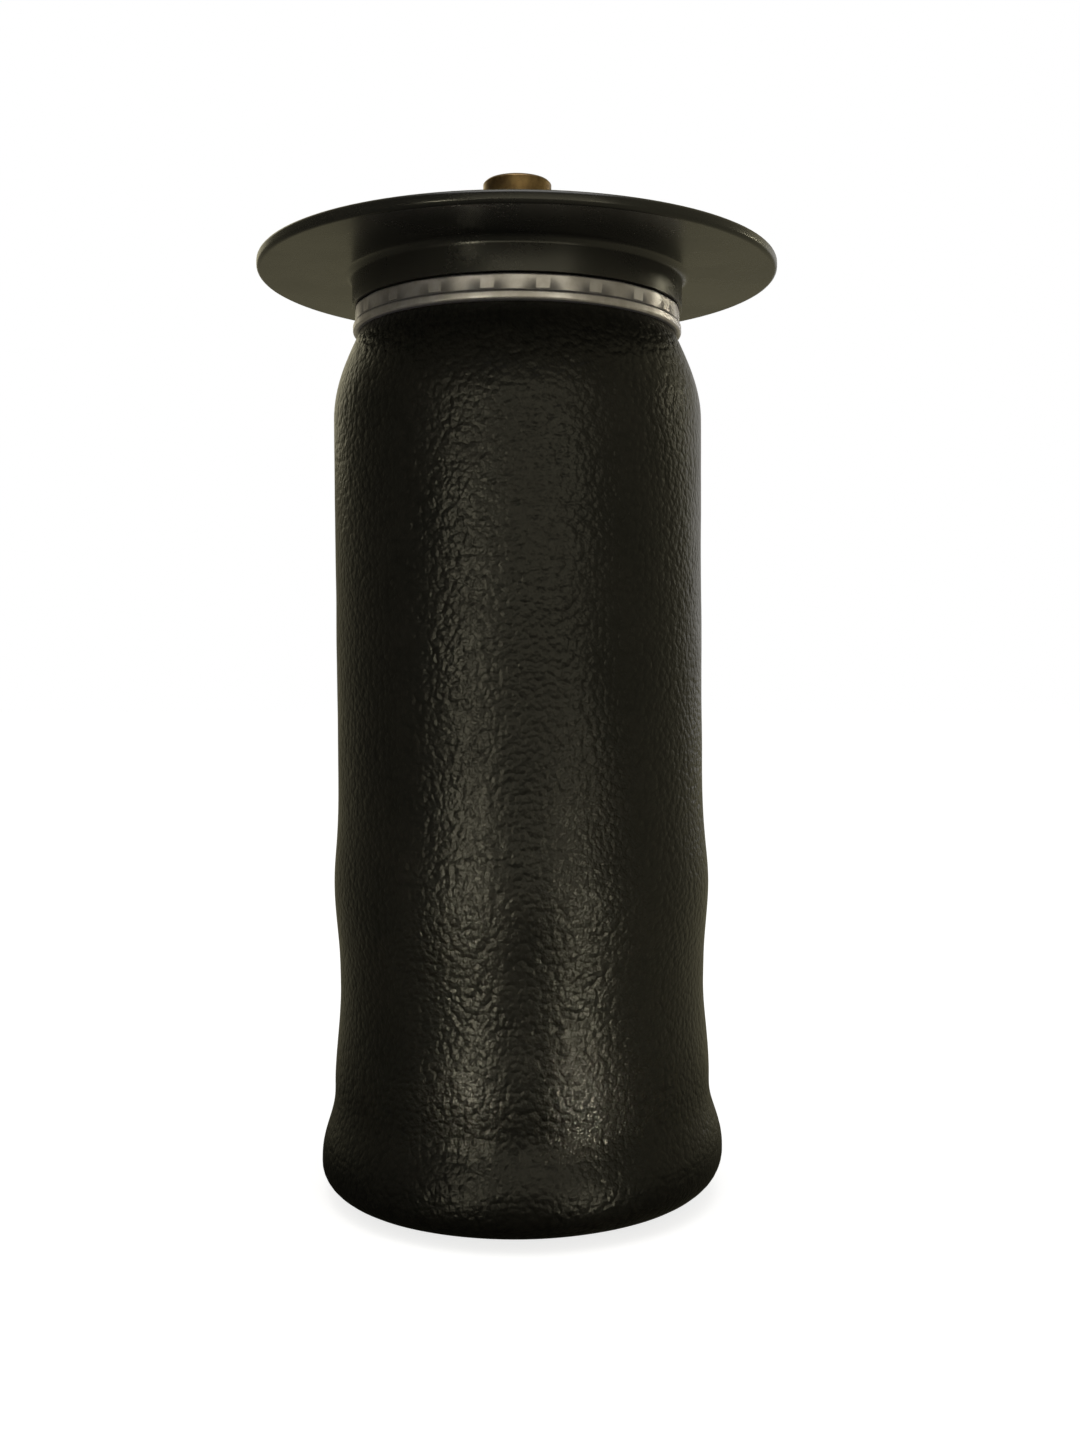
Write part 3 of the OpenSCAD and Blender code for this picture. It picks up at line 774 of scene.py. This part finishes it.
def threaded_insert():
    """The steel insert in the foot, with the thread that the lower fixing bolt screws into."""
    top = insert_high.z / MM
    flange_r = insert_high.x / MM
    flange_t = 5.0
    body_r = 10.0
    bolt_r = 6.05
    bolt_low = 22.0
    crest_r = 5.1
    pitch = 1.75
    mouth = 1.1
    hole_top = 18.0
    bore_top = hole_top - 0.4
    run_out_top = hole_top - 0.6
    drill_tip = hole_top + 1.2
    bore_limit_r = crest_r + 0.01
    rows = 90
    bore = [(crest_r, bore_top - (bore_top - mouth) * i / rows) for i in range(rows + 1)]
    corners = [
        (crest_r, mouth, 0),
        (crest_r + mouth, 0, 0.15),
        (flange_r, 0, 0.5),
        (flange_r, flange_t, 0.4),
        (body_r, flange_t, 0.2),
        (body_r, top, 0.3),
        (bolt_r, top, 0.3),
        (bolt_r, bolt_low, 0.2),
        (0, bolt_low, 0),
    ]
    hole = [Vector(p) for p in [(0, drill_tip), (crest_r, hole_top)] + bore]
    points = hole + rounded(corners, closed=False)[1:]

    def cut(r, z):
        """The share of the thread's whole depth, which runs out at both ends of the bore."""
        if r > bore_limit_r:
            return 0.0
        return min(max((z - mouth) / pitch, 0), max((run_out_top - z) / pitch, 0), 1)

    made = turned(
        "foot_insert_threaded", points, MATERIALS["zinc_steel"], steps=96, worked=cut, sharp=0.7,
        thread_pitch=pitch * MM, thread_depth=0.85 * MM)
    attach(made, "piston_unit")
    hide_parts("foot_insert")


# Light: the camera sees white, and reflections show a dimmer, warmer room with one bright window

WARM_LAMP = (1.0, 0.93, 0.66)
WHITE_LAMP = (1, 1, 1)
PLAIN_LIGHT = (0.6, 0.59, 0.56, 1)
ROOM_DIM = (0.08, 0.074, 0.048, 1)
ROOM_BRIGHT = (0.29, 0.265, 0.167, 1)
ROOM_SIDE = (0.8, 0.6, 0.0)
ROOM_EDGE = (-0.9, 0.6)
WINDOW_LIGHT = (0.7, 0.68, 0.63, 1)
WINDOW_SIDE = (0.42, 0.91, 0.0)
WINDOW_EDGE = (0.9, 0.97)
FLOOR_HALF = 6.0
FLOOR_PAINT = (0.85, 0.85, 0.85, 1)
FLOOR_GLOW = 1.53
FLOOR_GLOW_SHARE = 0.5
# The painted shadow round the foot: where it fades in and out, its depth, and the glow left at the foot
FLOOR_SHADE_REACH = (0.05, 0.3)
FLOOR_SHADE_DEPTH = 0.85
FLOOR_FOOT_LIGHT = 0.15

# Azimuth and spread are in degrees, power is in watts, and the rest is in metres. Azimuth 0 is the
# camera's side, and 90 is its right.
LAMP_COLUMNS = (
    "name", "azimuth", "height", "distance", "aim_z", "width", "tall", "power", "spread", "colour")
LAMPS = [
    ("lamp_left", -29, 0.16, 1.0, 0.18, 0.09, 0.28, 0.048, 30, WARM_LAMP),
    ("lamp_left_wall", -28, 0.012, 0.6, 0.1, 0.07, 0.02, 0.0052, 14, WARM_LAMP),
    ("lamp_left_foot", -28, 0.012, 0.448, 0.047, 0.05, 0.008, 0.0009, 6, WARM_LAMP),
    ("lamp_left_lobe", -24, 0.004, 0.15, 0.012, 0.03, 0.006, 0.0004, 40, WARM_LAMP),
    ("lamp_right", 33, 0.3, 1.0, 0.25, 0.12, 0.4, 0.016, 34, WARM_LAMP),
    ("lamp_right_wall", 33, 0.012, 0.6, 0.12, 0.07, 0.02, 0.0037, 14, WARM_LAMP),
    ("lamp_right_low", 33, 0.012, 0.448, 0.075, 0.05, 0.02, 0.0022, 12, WARM_LAMP),
    ("lamp_right_foot", 33, 0.012, 0.448, 0.047, 0.05, 0.008, 0.0017, 6, WARM_LAMP),
    ("lamp_right_lobe", 28, 0.004, 0.15, 0.012, 0.03, 0.006, 0.0011, 40, WARM_LAMP),
    ("lamp_front", 6, 0.4, 1.25, 0.22, 1.2, 0.5, 2.25, 180, WARM_LAMP),
    ("lamp_side", 128, 0.55, 1.1, 0.28, 0.4, 0.6, 0.06, 90, WARM_LAMP),
    ("lamp_ring", 115, 0.4, 0.7, 0.295, 0.12, 0.04, 0.003, 10, WARM_LAMP),
    ("lamp_back", -150, 0.8, 1.2, 0.15, 0.7, 0.8, 1.3, 180, WARM_LAMP),
    ("lamp_top", 10, 1.4, 0.3, 0.15, 0.9, 0.9, 7.0, 180, WHITE_LAMP),
]


def area_lamp(name, azimuth, height, distance, aim_z, width, tall, power, spread, colour):
    """A soft lamp aimed at a height on the spring's axis, and unseen by the camera."""
    a = math.radians(azimuth)
    place = Vector((math.sin(a) * distance, -math.cos(a) * distance, height))
    light = bpy.data.lights.new(name, "AREA")
    light.shape = "RECTANGLE"
    light.size = width
    light.size_y = tall
    light.energy = power
    light.spread = math.radians(spread)
    light.color = colour
    lamp = new_object(name, light)
    lamp.location = place
    lamp.rotation_euler = (place - Vector((0, 0, aim_z))).to_track_quat("Z", "Y").to_euler()
    lamp.visible_camera = False


def facing(nodes, direction, side):
    """How far a direction faces a side, from -1 to 1."""
    return nodes.vector_math("DOT_PRODUCT", {0: direction, 1: side}, output="Value")


def room_colour(nodes, direction):
    """The room that reflections show: dim on the camera's left, bright behind the spring and to its right."""
    share = nodes.smooth(facing(nodes, direction, ROOM_SIDE), *ROOM_EDGE)
    return nodes.mix(share, ROOM_DIM, ROOM_BRIGHT)


def light_on_object(nodes, reflected):
    """Plain light for dull faces, and another colour for what glossy faces mirror."""
    return nodes.mix(nodes.get("ShaderNodeLightPath", "Is Glossy Ray"), PLAIN_LIGHT, reflected)


def seen_directly(nodes):
    """1 for what the camera sees, itself or through something clear, and 0 for all else."""
    camera_ray = nodes.get("ShaderNodeLightPath", "Is Camera Ray")
    return camera_ray.math("MAXIMUM", nodes.get("ShaderNodeLightPath", "Is Transmission Ray"))


def background():
    """White behind the spring, plain light on it, and the room with its window in its reflections."""
    world = bpy.data.worlds.new("room")
    nodes = empty_nodes(world)
    direction = nodes.get("ShaderNodeTexCoord", "Generated")
    window_share = nodes.smooth(facing(nodes, direction, WINDOW_SIDE), *WINDOW_EDGE)
    room = nodes.mix(window_share, room_colour(nodes, direction), WINDOW_LIGHT)
    colour = nodes.mix(seen_directly(nodes), light_on_object(nodes, room), WHITE)
    shown = nodes.get("ShaderNodeBackground", 0, {"Color": colour, "Strength": 1.0})
    nodes.add("ShaderNodeOutputWorld", {"Surface": shown})
    bpy.context.scene.world = world


def floor_material():
    """White to the camera, with a faint shadow. To other rays it glows with painted light: plain light, and
    in reflections the room painted by place, with a painted shadow round the foot.
    """
    material = bpy.data.materials.new("floor_white")
    nodes = empty_nodes(material)
    place = object_place(nodes)
    paint = nodes.get("ShaderNodeBsdfDiffuse", 0, {"Color": FLOOR_PAINT})
    glow = nodes.get("ShaderNodeEmission", 0, {"Color": WHITE, "Strength": FLOOR_GLOW})
    seen = nodes.mix_shaders(FLOOR_GLOW_SHARE, paint, glow)
    # Painted light: in reflections the floor's glow takes the room's colours by its place, dim in front and
    # to the left, bright behind and to the right
    colour = light_on_object(nodes, room_colour(nodes, nodes.vector_math("NORMALIZE", {0: place})))
    reach = nodes.vector_math("LENGTH", {0: place}, output="Value")
    # Painted shadow: the glow fades round the foot, where the spring would shade the floor
    painted_shadow_level = nodes.smooth(reach, *FLOOR_SHADE_REACH) * FLOOR_SHADE_DEPTH + FLOOR_FOOT_LIGHT
    painted_glow = nodes.get("ShaderNodeEmission", 0, {"Color": colour, "Strength": painted_shadow_level})
    surface = nodes.mix_shaders(seen_directly(nodes), painted_glow, seen)
    nodes.add("ShaderNodeOutputMaterial", {"Surface": surface})
    return material


def floor():
    """A plain pale floor that meets the white background unseen."""
    corners = [(x * FLOOR_HALF, y * FLOOR_HALF, 0) for x, y in ((-1, -1), (1, -1), (1, 1), (-1, 1))]
    mesh = bpy.data.meshes.new("floor")
    mesh.from_pydata(corners, [], [(0, 1, 2, 3)])
    mesh.materials.append(floor_material())
    new_object("floor", mesh)


def camera():
    """The photograph's view: a little right of the axis, halfway up, and looking slightly down."""
    look_down = math.radians(2.03)
    data = bpy.data.cameras.new("camera")
    data.sensor_fit = "VERTICAL"
    data.sensor_height = 36.0
    data.lens = 38.05
    data.clip_start = 0.01
    made = new_object("camera", data)
    made.location = (0.0075, -0.513, 0.1727)
    made.rotation_euler = (math.radians(90) - look_down, 0, 0)
    bpy.context.scene.camera = made


bpy.context.scene.view_settings.view_transform = "Standard"
camera()
background()
floor()
for row in LAMPS:
    area_lamp(**dict(zip(LAMP_COLUMNS, row)))
dress_packed_nodes()
sleeve_wall()
sleeve_leg()
upper_ring()
eased_copy("top_plate", "top_unit", "plate_plastic", MOULDED_EASE)
eased_copy("piston", "piston_unit", "piston_plastic", MOULDED_EASE)
eased_copy("fitting_body", "top_unit", "fitting_brass", CUT_EASE)
threaded_insert()
